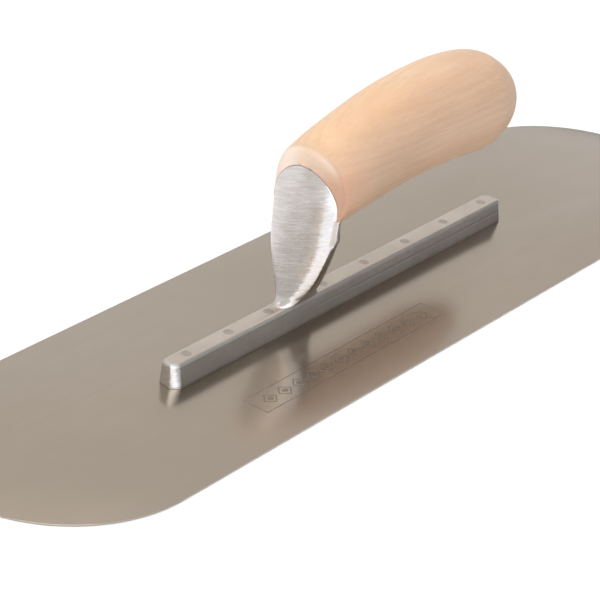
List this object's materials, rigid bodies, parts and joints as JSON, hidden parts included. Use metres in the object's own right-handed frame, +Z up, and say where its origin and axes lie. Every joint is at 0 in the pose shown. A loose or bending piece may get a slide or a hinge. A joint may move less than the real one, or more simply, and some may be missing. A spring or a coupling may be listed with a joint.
{
  "type": "finishing trowel",
  "caption": "Pool-pattern finishing trowel: thin round-ended spring-steel blade, cast aluminium mounting riveted along its centre line, and a curved wooden handle on a hidden steel tang.",
  "frame": {"origin": "centre of the blade, on its working (under) face", "axes": "+X along the blade towards the free end of the handle, +Y across the blade, +Z up through the handle"},
  "size_m": [0.4064, 0.1016, 0.0818],
  "materials": {
    "spring_steel": "rolled and polished along its length, warm grey",
    "cast_aluminium": "cast, with a belt-ground front face and rib top",
    "rivet_steel": "set and ground flush",
    "tang_steel": "plain drawn rod, not seen",
    "pale_wood": "sanded pale hardwood with a thin clear coat"
  },
  "bodies": {
    "root": {"blade": "spring_steel", "mounting": "cast_aluminium", "tang": "tang_steel", "handle": "pale_wood", "rivet_1": "rivet_steel", "rivet_2": "rivet_steel", "rivet_3": "rivet_steel", "rivet_4": "rivet_steel", "rivet_5": "rivet_steel", "rivet_6": "rivet_steel", "rivet_7": "rivet_steel", "rivet_8": "rivet_steel"}
  },
  "joints": []
}
